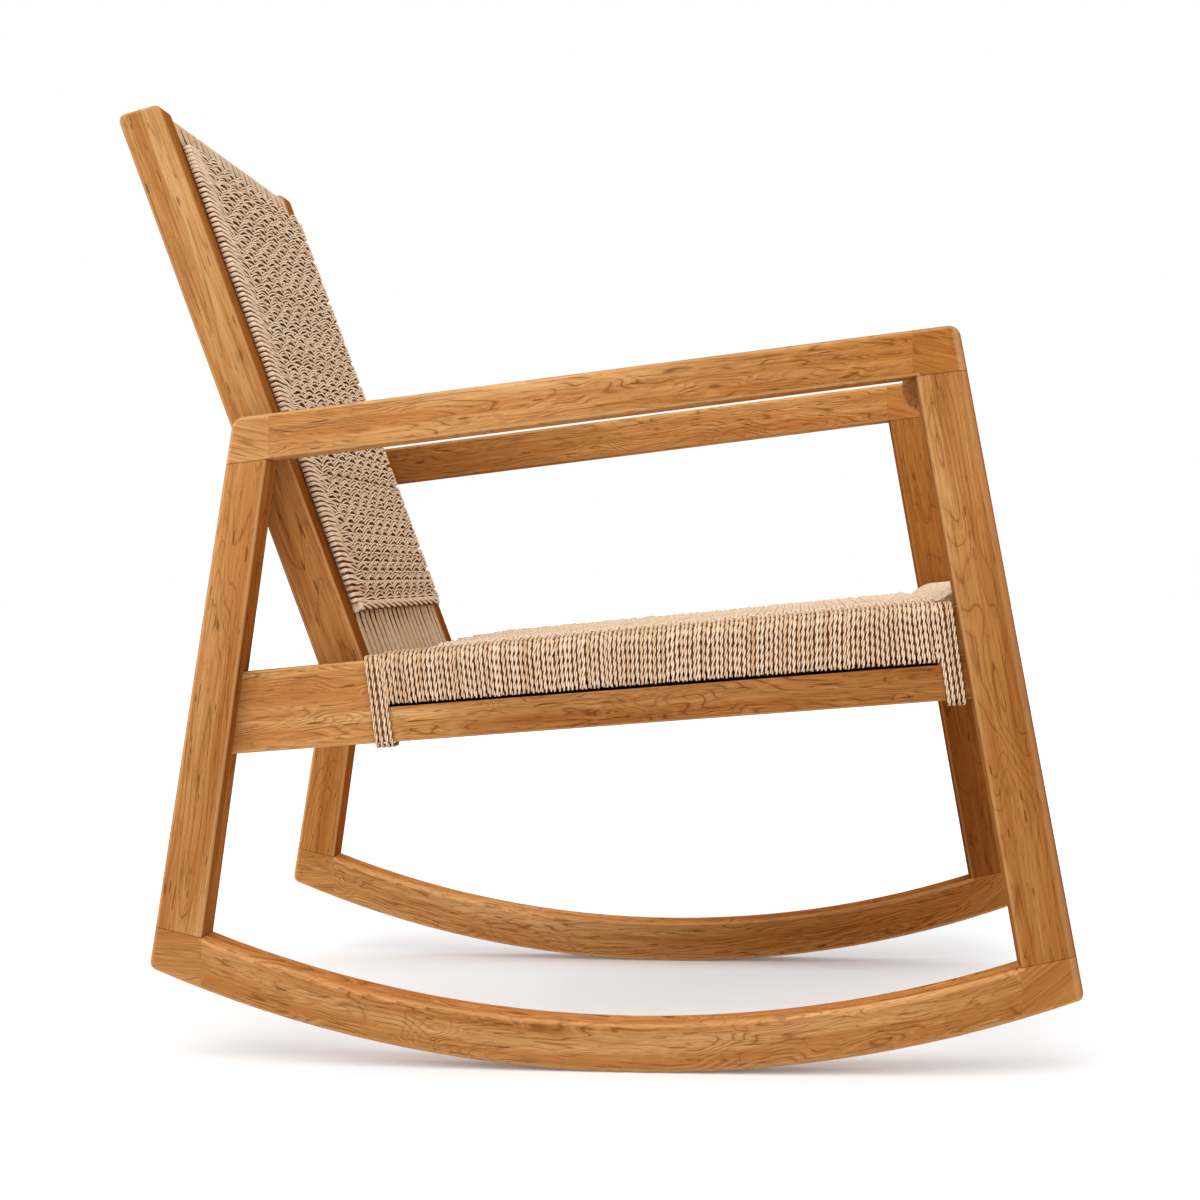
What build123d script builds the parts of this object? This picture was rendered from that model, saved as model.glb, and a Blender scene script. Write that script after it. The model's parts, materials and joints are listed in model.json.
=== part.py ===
"""Rocking chair: two closed wooden side frames on rockers carry a slotted seat frame and a leaning back.

The seat and the back are woven in twisted paper cord. Millimetres, +X to the front, +Y to the sitter's left, +Z up.
While it is being built, x = 0 is the line where the rockers touch the floor, and y = 0 is the middle of the chair.
"""
import os
from math import atan, cos, degrees, radians, sin, sqrt, tan

from build123d import *

# ---------------------------------------------------------------- driving sizes
overall_width = 670.0  # over the outer faces of the two side frames
frame_thickness = 48.0  # of rockers, legs and arms, across the chair
edge_round = 5.0  # router round on every long edge
front_round = 13.0  # softer round down the outer front edge
tip_radius = 8.0  # lower corners of the rockers
arm_corner_radius = 12.0  # upper corners of the arms

rocker_radius = 1160.0  # of the edge that rolls on the floor
rocker_depth = 44.0
rocker_seat_slope = tan(radians(12.5))  # flats under the legs

# A leg edge is the x where it would meet the floor, and how far it leans forward per millimetre of height.
rear_leg_back = (-459.0, 0.155)
rear_leg_front = (-411.9, 0.138)
front_leg_back = (364.6, -0.1758)
front_leg_front = (417.0, -0.1846)

arm_top_height = 638.0  # above the floor, over x = 0
arm_depth = 41.5  # measured upright
arm_slope = 0.1218

rail_thickness = 26.0  # of the slotted side rails, across the chair
rail_bottom_height, rail_bottom_slope = 313.6, 0.080
rail_top_height, rail_top_slope = 394.5, 0.0954
rail_round = 3.0
slot_above_bottom = 32.5  # wood left under the slot
slot_height = 12.0
slot_rear_x, slot_front_x = -226.0, 275.0

front_rail_height, front_rail_thickness = 74.0, 38.0  # stands between the front legs
rear_rail_height, rear_rail_thickness = 38.0, 20.0
front_rail_x, rear_rail_x = 315.0, -207.0
front_rail_rise = 12.5  # its top above the tops of the side rails
rear_rail_drop = 2.0
cross_rail_round = 5.0

post_width = 42.0  # across the chair
post_depth = 41.9  # front face to back face
post_foot_x = -116.4  # where the line of the front face would meet the floor
post_lean = 20.45  # degrees back from upright
post_front_length = 952.2  # along the front face, from that floor point to the top
post_top_rise = 3.9  # the back of the top end stands this much further along
post_corner_radius = 7.0
post_foot_front_x = -252.5  # plumb cut that leaves room for the rear lashing
post_foot_height = 302.0

back_rail_height = 34.0
back_rail_thickness = 20.0
top_rail_below_post = 8.0
bottom_rail_start = 374.0  # along the posts

cord_layer = 4.7  # one layer of 4 mm cord with its twist and lift
soft_gap = 0.3  # between a cord layer and the wood under it
seat_weave_thickness = 9.0
rear_weave_lead, front_weave_lead = 2.0, 3.0  # clear of the tilted sides of the cord on the cross rails
back_weave_thickness = 8.7
back_weave_start = 441.0  # along the posts
back_weave_below_post = 37.2
back_weave_overlap = 10.0  # over the front face of each post
warp_under_weave = 10.0  # how far the plain cord runs on behind the woven part

lashing_width = 18.0
rear_lashing_x, front_lashing_x = -249.5, 270.0  # rear edge of each lashing at the top of the rail
lashing_lean = 0.143  # forward per millimetre down the rail

block_radius, block_thickness = 25.0, 16.0
block_x, block_drop = 269.0, 7.2  # its centre, and how far it lies under the arm

tenon_thickness, tenon_width, tenon_length = 12.0, 26.0, 50.0
rail_tenon_thickness, rail_tenon_width, rail_tenon_length = 9.0, 40.0, 40.0
cross_tenon_thickness, cross_tenon_width, cross_tenon_length = 8.0, 22.0, 30.0
cross_tenon_below_top = 5.0  # wood left over it in the seat's cross rails
tenon_clearance = 0.1

bolt_radius, bolt_head_radius, bolt_head_height = 3.0, 5.0, 6.0
bolt_end_margin = 1.5  # of its insert, left free at the end
insert_radius, insert_length = 5.0, 10.5
counterbore_radius, counterbore_depth = 7.0, 20.0
bolt_clearance = 0.2
arm_bolt_x, rail_bolt_x = -354.0, -271.0
arm_bolt_drop, rail_bolt_rise = 20.0, 40.0  # under the arm's top, over the rail's bottom
screw_radius, screw_head_radius, screw_length = 2.0, 4.0, 34.0

nail_radius, nail_depth, nail_stand = 0.9, 12.0, 4.0
nail_hook_radius, nail_hook_length = 0.8, 7.0
nail_pitch = 20.0
nail_clearance = 0.05
seat_nail_drop = 9.0  # under the slot
back_nail_inset = 9.0  # behind the front face of the post
nail_end_margin = 12.0

# ---------------------------------------------------------------- places worked out from them
outer_y = -overall_width / 2  # right side: the left one is its mirror image
inner_y = outer_y + frame_thickness
rail_y = inner_y - rail_thickness
post_y = inner_y + post_width
seat_slope = (rail_bottom_slope + rail_top_slope) / 2
seat_angle = degrees(atan(seat_slope))
lean = radians(post_lean)


def leg_x(edge, z):
    """x of a leg edge at height z."""
    return edge[0] + edge[1] * z


def arm_top(x):
    return arm_top_height + arm_slope * x


def arm_under(x):
    return arm_top(x) - arm_depth


def rail_top(x):
    return rail_top_height + rail_top_slope * x


def rail_bottom(x):
    return rail_bottom_height + rail_bottom_slope * x


def slot_low(x):
    return rail_bottom(x) + slot_above_bottom


def slot_high(x):
    return slot_low(x) + slot_height


def on_arm(edge, height):
    """Where a leg edge meets a line that runs along the arm; height is that line's height over x = 0."""
    z = (height + arm_slope * edge[0]) / (1 - arm_slope * edge[1])
    return leg_x(edge, z), z


def on_rocker(edge, radius):
    """Where a leg edge meets the circle of that radius about the rocker's centre, on its lower side."""
    a = 1 + edge[1] ** 2
    b = edge[0] * edge[1] - rocker_radius
    c = edge[0] ** 2 + rocker_radius**2 - radius**2
    z = (-b - sqrt(b * b - a * c)) / a
    return leg_x(edge, z), z


def on_back(along, ahead):
    """Point of the side view that lies along the posts and ahead of their front faces."""
    x = post_foot_x - along * sin(lean) + ahead * cos(lean)
    z = along * cos(lean) + ahead * sin(lean)
    return x, z


def slab(sketch, y_from, y_to):
    """A side view sketch (x, z) made solid between two planes across the chair."""
    return extrude(Plane.XZ.offset(-y_to) * sketch, y_to - y_from)


def shape(*points):
    return make_face(Polyline(*points, close=True))


def strip(x_from, x_to, low, high, top=rail_top, slant=0.0):
    """Side view strip between two lines; slant moves its ends forward per millimetre under the line top."""

    def corner(x, line):
        z = line(x)
        return x + slant * (top(x) - z), z

    return shape(corner(x_from, low), corner(x_to, low), corner(x_to, high), corner(x_from, high))


def raised(line, by):
    return lambda x: line(x) + by


def back_box(along_from, along_to, ahead_from, ahead_to, half_width):
    """A block in line with the back, as wide as the two halves."""
    corners = [(along_from, ahead_from), (along_to, ahead_from), (along_to, ahead_to), (along_from, ahead_to)]
    return slab(shape(*[on_back(*corner) for corner in corners]), -half_width, half_width)


def outline_edges(part):
    """Edges of the two faces that look across the chair."""
    return part.edges().filter_by(lambda edge: edge.bounding_box().size.Y < 0.001)


def stub(centre, axis, across, thickness, width, length, grow=0.0):
    """Loose tenon with round edges: length lies along axis, width along across."""
    plane = Plane(origin=centre, x_dir=across, z_dir=axis)
    return extrude(plane * SlotOverall(width + 2 * grow, thickness + 2 * grow), (length + 2 * grow) / 2, both=True)


def rod(start, axis, radius, length):
    return extrude(Plane(origin=start, z_dir=axis) * Circle(radius), length)


# ---------------------------------------------------------------- side frame: shaped and rounded whole, then parted
def inner_corner(edge):
    return on_rocker(edge, rocker_radius - rocker_depth)


def side_frame():
    rear_tip, front_tip = on_rocker(rear_leg_back, rocker_radius), on_rocker(front_leg_front, rocker_radius)
    arm_rear, arm_front = on_arm(rear_leg_back, arm_top_height), on_arm(front_leg_front, arm_top_height)
    rolling_edge = RadiusArc(rear_tip, front_tip, -rocker_radius)
    outline = make_face([rolling_edge, Polyline(front_tip, arm_front, arm_rear, rear_tip)])
    tips = outline.vertices().sort_by(Axis.Y)[:2]
    outline = fillet(tips, tip_radius)
    outline = fillet(outline.vertices().sort_by(Axis.Y)[-2:], arm_corner_radius)

    under = arm_top_height - arm_depth
    low_rear, low_front = inner_corner(rear_leg_front), inner_corner(front_leg_back)
    high_rear, high_front = on_arm(rear_leg_front, under), on_arm(front_leg_back, under)
    upper_edge = RadiusArc(low_rear, low_front, rocker_depth - rocker_radius)
    window = make_face([upper_edge, Polyline(low_front, high_front, high_rear, low_rear)])

    frame = slab(outline - window, outer_y, inner_y)
    frame = fillet(outline_edges(frame), edge_round)
    return frame - front_edge_cutter()


def front_edge_cutter():
    """Waste outside the larger round on the outer front edge, from the rocker's tip to the top of the arm."""
    foot = Vector(leg_x(front_leg_front, 0), outer_y, 0)
    up = Vector(front_leg_front[1], 0, 1).normalized()
    plane = Plane(origin=foot, x_dir=(0, 1, 0), z_dir=up)
    side = plane.y_dir.X  # +1 where the plane's own y looks to the front
    r, spare = front_round, 4.0
    corner = Rectangle(r + spare, r + spare, align=(Align.MIN, Align.MIN)).moved(Location((-spare, -r, 0)))
    waste = corner - Circle(r).moved(Location((r, -r, 0)))
    if side < 0:
        waste = mirror(waste, about=Plane.XZ)
    return extrude(plane * waste, arm_top(foot.X) + arm_depth)


def leg_zone(back_edge, front_edge, inner_edge, outward):
    """Side view area that belongs to a leg: from its flat on the rocker to the underside of the arm."""
    reach, spare = 160.0, 60.0
    inner_x, inner_z = inner_corner(inner_edge)
    outer_x = inner_x + outward * reach
    top_x = on_arm(inner_edge, arm_top_height - arm_depth)[0] - outward * spare
    outer_z = inner_z + rocker_seat_slope * reach
    return shape((inner_x, inner_z), (outer_x, outer_z), (outer_x, arm_under(outer_x)), (top_x, arm_under(top_x)))


frame_blank = side_frame()
rear_zone = slab(leg_zone(rear_leg_back, rear_leg_front, rear_leg_front, -1), outer_y, inner_y)
front_zone = slab(leg_zone(front_leg_back, front_leg_front, front_leg_back, 1), outer_y, inner_y)
rear_leg = frame_blank & rear_zone
front_leg = frame_blank & front_zone
rocker, arm = (frame_blank - rear_zone - front_zone).solids().sort_by(Axis.Z)

# ---------------------------------------------------------------- side seat rail with its slot
rail_ends = (-480.0, 420.0)
rail_blank = slab(strip(*rail_ends, rail_bottom, rail_top), rail_y, inner_y)
rail_long_edges = outline_edges(rail_blank).filter_by(lambda edge: edge.length > 500)
rail_blank = fillet(rail_long_edges, rail_round)
rail_window = shape(
    (leg_x(rear_leg_front, 0), 0),
    (leg_x(front_leg_back, 0), 0),
    (leg_x(front_leg_back, 600), 600),
    (leg_x(rear_leg_front, 600), 600),
)
seat_rail = rail_blank & slab(rail_window, rail_y, inner_y)
seat_rail -= slab(strip(slot_rear_x, slot_front_x, slot_low, slot_high), rail_y - 1, inner_y + 1)


# ---------------------------------------------------------------- cross rails of the seat
def cross_rail(x, top, height, thickness):
    """Bar between the two side frames, square to the seat; top is its upper face at x."""
    section = RectangleRounded(thickness, height, cross_rail_round)
    centre = Location((x, top - height / 2 / cos(radians(seat_angle)), 0), (0, 0, seat_angle))
    return slab(section.moved(centre), inner_y, -inner_y)


def cord_ring(x, top, height, thickness, half_width):
    """Cord layer wound round a cross rail."""
    centre = Location((x, top - height / 2 / cos(radians(seat_angle)), 0), (0, 0, seat_angle))
    hole = RectangleRounded(thickness + 2 * soft_gap, height + 2 * soft_gap, cross_rail_round + soft_gap)
    grow = 2 * cord_layer
    outside = RectangleRounded(thickness + grow, height + grow, cross_rail_round + cord_layer)
    return slab((outside - hole).moved(centre), -half_width, half_width)


front_rail_top = rail_top(front_rail_x) + front_rail_rise
rear_rail_top = rail_top(rear_rail_x) - rear_rail_drop
front_rail = (front_rail_x, front_rail_top, front_rail_height, front_rail_thickness)
rear_rail = (rear_rail_x, rear_rail_top, rear_rail_height, rear_rail_thickness)
front_seat_rail, rear_seat_rail = cross_rail(*front_rail), cross_rail(*rear_rail)


# ---------------------------------------------------------------- back posts and back rails
def back_post():
    front_top, back_top = on_back(post_front_length, 0), on_back(post_front_length + post_top_rise, -post_depth)
    foot_drop = (post_foot_x - post_foot_front_x) / tan(lean)
    foot_front_top = (post_foot_front_x, foot_drop)
    back_foot_x = post_foot_x - post_depth / cos(lean) - post_foot_height * tan(lean)
    outline = shape(
        front_top,
        foot_front_top,
        (post_foot_front_x, post_foot_height),
        (back_foot_x, post_foot_height),
        back_top,
    )
    outline = fillet(outline.vertices().sort_by(Axis.Y)[-2:], post_corner_radius)
    return fillet(outline_edges(slab(outline, inner_y, post_y)), edge_round - 0.5)


post = back_post()
back_rail_front = -cord_layer  # so that the cord on the back rails is flush with the posts
top_rail_end = post_front_length - top_rail_below_post
top_rail_start = top_rail_end - back_rail_height
bottom_rail_end = bottom_rail_start + back_rail_height
back_weave_end = post_front_length - back_weave_below_post


def back_rail(start):
    blank = back_box(start, start + back_rail_height, back_rail_front - back_rail_thickness, back_rail_front, -post_y)
    long_edges = blank.edges().filter_by(Axis.Y)
    return fillet(long_edges, 4.0)


top_back_rail = back_rail(top_rail_start)
bottom_back_rail = back_rail(bottom_rail_start)

# ---------------------------------------------------------------- round block in the front corner under the right arm
block_z = arm_under(block_x) - block_drop
corner_block = rod((block_x, inner_y, block_z), (0, 1, 0), block_radius, block_thickness)
corner_block = fillet(corner_block.edges().sort_by(Axis.Y)[-1], 3.0)

# ---------------------------------------------------------------- loose tenons and their mortises
frame_mid_y = outer_y + frame_thickness / 2
rail_mid_y = (rail_y + inner_y) / 2
post_mid = back_rail_front - back_rail_thickness / 2


def leg_axis(back_edge, front_edge):
    return Vector((back_edge[1] + front_edge[1]) / 2, 0, 1).normalized()


def frame_joint_stubs(grow=0.0):
    """The four tenons that hold one side frame together."""
    joints = []
    for back_edge, front_edge, inner_edge, outward in (
        (rear_leg_back, rear_leg_front, rear_leg_front, -1),
        (front_leg_back, front_leg_front, front_leg_back, 1),
    ):
        axis = leg_axis(back_edge, front_edge)
        under = arm_top_height - arm_depth
        top = [(a + b) / 2 for a, b in zip(on_arm(back_edge, under), on_arm(front_edge, under))]
        inner_x, inner_z = inner_corner(inner_edge)
        half_leg = abs(leg_x(front_edge, inner_z) - leg_x(back_edge, inner_z)) / 2
        low = (inner_x + outward * half_leg, inner_z + rocker_seat_slope * half_leg)
        for x, z in (top, low):
            centre = (x, frame_mid_y, z)
            joints.append(stub(centre, axis, (0, 1, 0), tenon_thickness, tenon_width, tenon_length, grow))
    return joints


def rail_joint_stubs(grow=0.0):
    """The two tenons at the ends of one side rail."""
    joints = []
    axis = Vector(1, 0, seat_slope).normalized()
    across = Vector(-seat_slope, 0, 1).normalized()
    for edge in (rear_leg_front, front_leg_back):
        z = (rail_bottom(edge[0]) + rail_top(edge[0])) / 2
        x = leg_x(edge, z)
        z = (rail_bottom(x) + rail_top(x)) / 2
        sizes = (rail_tenon_thickness, rail_tenon_width, rail_tenon_length)
        joints.append(stub((x, rail_mid_y, z), axis, across, *sizes, grow))
    return joints


def cross_stub(x, z, y, tilt, grow=0.0):
    """Tenon between a cross rail and what carries it; tilt is the rail's upright direction in the side view."""
    across = Vector(sin(tilt), 0, cos(tilt))
    sizes = (cross_tenon_thickness, cross_tenon_width, cross_tenon_length)
    return stub((x, y, z), (0, 1, 0), across, *sizes, grow)


seat_tilt = -radians(seat_angle)
front_stub_z = front_rail_top - cross_tenon_below_top - cross_tenon_width / 2
rear_stub_z = rear_rail_top - cross_tenon_below_top - cross_tenon_width / 2
top_stub_x, top_stub_z = on_back(top_rail_start + back_rail_height / 2, post_mid)
bottom_stub_x, bottom_stub_z = on_back(bottom_rail_start + back_rail_height / 2, post_mid)
cross_joints = {
    "front_seat_rail": (front_rail_x, front_stub_z, inner_y, seat_tilt),
    "rear_seat_rail": (rear_rail_x, rear_stub_z, inner_y, seat_tilt),
    "top_back_rail": (top_stub_x, top_stub_z, post_y, -lean),
    "bottom_back_rail": (bottom_stub_x, bottom_stub_z, post_y, -lean),
}


def cross_mortise(name):
    """The two mortises of a cross rail, one at each end."""
    right = cross_stub(*cross_joints[name], grow=tenon_clearance)
    return [right, mirror(right, about=Plane.XZ)]


for mortise in frame_joint_stubs(tenon_clearance):
    rocker, arm, rear_leg, front_leg = (piece - mortise for piece in (rocker, arm, rear_leg, front_leg))
for mortise in rail_joint_stubs(tenon_clearance):
    seat_rail, rear_leg, front_leg = (piece - mortise for piece in (seat_rail, rear_leg, front_leg))
front_leg -= cross_mortise("front_seat_rail")[0]
seat_rail -= cross_mortise("rear_seat_rail")[0]
post = post - cross_mortise("top_back_rail")[0] - cross_mortise("bottom_back_rail")[0]
for mortise in cross_mortise("front_seat_rail"):
    front_seat_rail -= mortise
for mortise in cross_mortise("rear_seat_rail"):
    rear_seat_rail -= mortise
for mortise in cross_mortise("top_back_rail"):
    top_back_rail -= mortise
for mortise in cross_mortise("bottom_back_rail"):
    bottom_back_rail -= mortise

# ---------------------------------------------------------------- bolts and inserts that hold the posts, block screw
bolt_places = [
    (arm_bolt_x, arm_top(arm_bolt_x) - arm_bolt_drop),
    (rail_bolt_x, rail_bottom(rail_bolt_x) + rail_bolt_rise),
]
head_y = post_y - counterbore_depth
bolt_length = head_y - inner_y + insert_length - bolt_end_margin
bolts, inserts = [], []
for x, z in bolt_places:
    shank = rod((x, head_y, z), (0, -1, 0), bolt_radius, bolt_length)
    head = rod((x, head_y, z), (0, 1, 0), bolt_head_radius, bolt_head_height)
    socket = extrude(
        Plane(origin=(x, head_y + bolt_head_height, z), z_dir=(0, -1, 0)) * RegularPolygon(2.9, 6), bolt_head_height / 2
    )
    bolts.append(shank + head - socket)
    sleeve = rod((x, inner_y, z), (0, -1, 0), insert_radius, insert_length)
    inserts.append(sleeve - rod((x, inner_y, z), (0, -1, 0), bolt_radius + tenon_clearance, insert_length))
    post -= rod((x, inner_y, z), (0, 1, 0), bolt_radius + bolt_clearance, post_width)
    post -= rod((x, head_y, z), (0, 1, 0), counterbore_radius, counterbore_depth)
    pocket = rod((x, inner_y, z), (0, -1, 0), insert_radius + tenon_clearance, insert_length + 1)
    arm, seat_rail = arm - pocket, seat_rail - pocket

screw_y = inner_y + block_thickness
head_depth = screw_head_radius - screw_radius
screw_head = Plane(origin=(block_x, screw_y, block_z), z_dir=(0, -1, 0)) * Circle(screw_head_radius)
screw_neck = Plane(origin=(block_x, screw_y - head_depth, block_z), z_dir=(0, -1, 0)) * Circle(screw_radius)
block_screw = loft([screw_head, screw_neck]) + rod(
    (block_x, screw_y - head_depth, block_z), (0, -1, 0), screw_radius, screw_length
)
corner_block -= rod((block_x, screw_y, block_z), (0, -1, 0), screw_head_radius + tenon_clearance, head_depth)
screw_hole = rod((block_x, screw_y, block_z), (0, -1, 0), screw_radius + tenon_clearance, screw_length + head_depth + 1)
corner_block -= screw_hole


# ---------------------------------------------------------------- L-shaped cord nails
def nail(point, hook_axis, grow=0.0):
    """Nail driven outwards into wood on the right side, its hook turned along hook_axis."""
    x, y, z = point
    shank = rod((x, y - nail_depth, z), (0, 1, 0), nail_radius + grow, nail_depth + nail_stand)
    if grow:
        return shank
    hook = rod((x, y + nail_stand - nail_radius, z), hook_axis, nail_hook_radius, nail_hook_length)
    return shank + hook


def nail_row(low, high):
    count = int((high - low - 2 * nail_end_margin) / nail_pitch) + 1
    start = (low + high - (count - 1) * nail_pitch) / 2
    return [start + i * nail_pitch for i in range(count)]


seat_nails, back_nails = [], []
for x in nail_row(slot_rear_x, slot_front_x):
    spot = (x, inner_y, slot_low(x) - seat_nail_drop)
    seat_nails.append(nail(spot, (0, 0, -1)))
    seat_rail -= nail(spot, (0, 0, -1), nail_clearance)
for along in nail_row(back_weave_start, top_rail_start):
    x, z = on_back(along, -back_nail_inset)
    back_nails.append(nail((x, post_y, z), (-cos(lean), 0, -sin(lean))))
    post -= nail((x, post_y, z), (-cos(lean), 0, -sin(lean)), nail_clearance)

# ---------------------------------------------------------------- cord: plain solids with the true outer sizes
skin_y = rail_y - cord_layer  # outside of the cord on the side rails
cord_low = raised(slot_low, 3.0)
cord_top = raised(rail_top, cord_layer)
edge_y = inner_y + cord_layer  # cord on the inner faces of the side rails
cord_ends = (rear_lashing_x + lashing_width + soft_gap, front_lashing_x - soft_gap)
outer_layer = slab(strip(*cord_ends, cord_low, cord_top, slant=lashing_lean), skin_y, rail_y - soft_gap)
top_layer = slab(strip(*cord_ends, raised(rail_top, soft_gap), cord_top, slant=lashing_lean), skin_y, edge_y)
slot_layer = slab(
    strip(slot_rear_x + 6, slot_front_x - 1, cord_low, raised(slot_high, -soft_gap)), skin_y, inner_y - soft_gap
)
side_cord = outer_layer + top_layer + slot_layer


def lashing(x):
    """A few turns of cord round the whole side rail."""
    ends = (x, x + lashing_width)
    outside = strip(*ends, raised(rail_bottom, -cord_layer), cord_top, slant=lashing_lean)
    hole = strip(x - lashing_width, x + 3 * lashing_width, raised(rail_bottom, -soft_gap), raised(rail_top, soft_gap))
    ring = slab(outside, skin_y, edge_y)
    return ring - slab(hole, rail_y - soft_gap, inner_y + soft_gap)


seat_half = -edge_y - soft_gap
front_rail_cord, rear_rail_cord = cord_ring(*front_rail, seat_half), cord_ring(*rear_rail, seat_half)


def ring_reach(thickness):
    """How far the cord on a cross rail stands from the rail's centre, along the seat."""
    return (thickness / 2 + cord_layer) / cos(radians(seat_angle)) + soft_gap


weave_low, weave_high = raised(rail_top, soft_gap), raised(rail_top, seat_weave_thickness)
weave_ends = (
    rear_rail_x + ring_reach(rear_rail_thickness) + rear_weave_lead,
    front_rail_x - ring_reach(front_rail_thickness) - front_weave_lead,
)
seat_weave = slab(strip(*weave_ends, weave_low, weave_high), -seat_half, seat_half)

back_half = -post_y - soft_gap
back_rear = back_rail_front - back_rail_thickness


def back_ring(start, end, front_end):
    """Warp cord round a back rail, with its front layer carried on to front_end."""
    ring = back_box(start - cord_layer, end + cord_layer, back_rear - cord_layer, 0, back_half)
    ring -= back_box(start - soft_gap, end + soft_gap, back_rear - soft_gap, back_rail_front + soft_gap, back_half)
    if front_end > end + cord_layer:
        ring += back_box(end, front_end, back_rail_front + soft_gap, 0, back_half)
    return ring


top_rail_cord = back_ring(top_rail_start, top_rail_end, top_rail_end)
bottom_rail_cord = back_ring(bottom_rail_start, bottom_rail_end, back_weave_start + warp_under_weave)
weave_side = -post_y + back_weave_overlap
back_weave = back_box(back_weave_start, back_weave_end, soft_gap, back_weave_thickness, weave_side)

# ---------------------------------------------------------------- nodes
right_nodes = {
    "rocker": [rocker],
    "rear_leg": [rear_leg],
    "front_leg": [front_leg],
    "armrest": [arm],
    "seat_rail": [seat_rail],
    "back_post": [post],
    "frame_tenons": frame_joint_stubs(),
    "seat_rail_tenons": rail_joint_stubs(),
    "post_bolts": bolts,
    "post_inserts": inserts,
    "seat_cord_nails": seat_nails,
    "back_cord_nails": back_nails,
    "side_cord": [side_cord],
    "rear_lashing": [lashing(rear_lashing_x)],
    "front_lashing": [lashing(front_lashing_x)],
}
single_nodes = {
    "right_front_leg": [front_leg - screw_hole],
    "right_corner_block": [corner_block],
    "right_block_screw": [block_screw],
    "front_seat_rail": [front_seat_rail],
    "rear_seat_rail": [rear_seat_rail],
    "top_back_rail": [top_back_rail],
    "bottom_back_rail": [bottom_back_rail],
    "seat_weave": [seat_weave],
    "front_rail_cord": [front_rail_cord],
    "rear_rail_cord": [rear_rail_cord],
    "back_weave": [back_weave],
    "top_rail_cord": [top_rail_cord],
    "bottom_rail_cord": [bottom_rail_cord],
}
for name, joint in cross_joints.items():
    stub_right = cross_stub(*joint)
    single_nodes[f"{name}_tenons"] = [stub_right, mirror(stub_right, about=Plane.XZ)]

nodes = {}
for name, pieces in right_nodes.items():
    nodes[f"right_{name}"] = pieces
    nodes[f"left_{name}"] = [mirror(piece, about=Plane.XZ) for piece in pieces]
nodes.update(single_nodes)

# The origin is the middle of the chair's box, on the floor.
boxes = [piece.bounding_box() for pieces in nodes.values() for piece in pieces]
middle_x = (min(box.min.X for box in boxes) + max(box.max.X for box in boxes)) / 2
floor_z = min(box.min.Z for box in boxes)
to_origin = Location((-middle_x, 0, -floor_z))

os.makedirs("parts", exist_ok=True)
for name, pieces in nodes.items():
    solids = [solid for piece in pieces for solid in piece.moved(to_origin).solids()]
    export_step(solids[0] if len(solids) == 1 else Compound(children=solids), f"parts/{name}.step")
print(f"{len(nodes)} nodes; floor contact at x = {-middle_x:.2f}, lowest point {floor_z:.3f}")
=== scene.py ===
"""Looks of a rocking chair: an oiled wooden frame, with a seat and back wound and woven from twisted cord.

Metres, +X to the front, +Y to the sitter's left, +Z up. Side views are worked out from the line where the
rockers touch the floor, and moved to the model's own place by floor_x.
"""
import json
import math

import bmesh
import bpy
import numpy as np
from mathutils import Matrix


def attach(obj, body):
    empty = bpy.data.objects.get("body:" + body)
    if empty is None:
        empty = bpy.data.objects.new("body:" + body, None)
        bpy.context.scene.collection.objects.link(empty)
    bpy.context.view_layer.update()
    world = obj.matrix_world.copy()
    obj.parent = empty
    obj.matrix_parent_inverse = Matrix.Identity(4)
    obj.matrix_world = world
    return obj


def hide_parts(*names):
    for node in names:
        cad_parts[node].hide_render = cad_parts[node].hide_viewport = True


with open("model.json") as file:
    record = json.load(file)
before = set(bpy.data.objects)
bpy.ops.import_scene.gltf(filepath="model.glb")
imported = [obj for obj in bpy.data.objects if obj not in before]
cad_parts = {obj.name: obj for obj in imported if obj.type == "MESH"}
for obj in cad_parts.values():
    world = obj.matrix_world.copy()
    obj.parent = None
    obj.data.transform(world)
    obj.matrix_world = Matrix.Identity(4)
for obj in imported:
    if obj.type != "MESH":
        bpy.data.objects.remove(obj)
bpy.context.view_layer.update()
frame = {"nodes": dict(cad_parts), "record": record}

nodes = frame["nodes"]
mounts = {mount["name"]: mount for mount in frame["record"]["mounts"]}
floor_x = mounts["right_rocker_on_floor"]["pos_m"][0]
chance = np.random.default_rng(7)
full_turn = 2 * math.pi

# ---------------------------------------------------------------- sizes of the frame that carries the cord
rocker_radius = 1.160
rear_leg_front, front_leg_rear = -0.3958, 0.3471  # where the rockers' flats end
arm_rear_block, arm_front_block = -0.3330, 0.2510  # where the arms' grain turns over the legs
inner_side, rail_side = 0.287, 0.313  # inner and outer faces of the side rails, from the middle of the chair
rail_middle = (inner_side + rail_side) / 2
rail_top_height, rail_top_slope = 0.3945, 0.0954
rail_bottom_height, rail_bottom_slope = 0.3136, 0.080
slot_above_bottom = 0.0325
slot_middle, slot_half = 0.0245, 0.2515  # along the rail
seat_tilt = 0.08748
front_rail = (0.315, 0.0125, 0.038, 0.074)  # x, rise over the side rails, thickness and height
rear_rail = (-0.207, -0.002, 0.020, 0.038)
back_foot_x, back_lean = -0.1164, math.radians(20.45)
top_rail, bottom_rail = (0.9102, 0.9442), (0.374, 0.408)  # along the posts
back_rail_thickness, back_rail_ahead = 0.020, -0.0047  # its front face lies behind the posts' front faces
post_inner = 0.245
weave_start, weave_end = 0.441, 0.915  # along the posts
weave_side = 0.255

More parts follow.
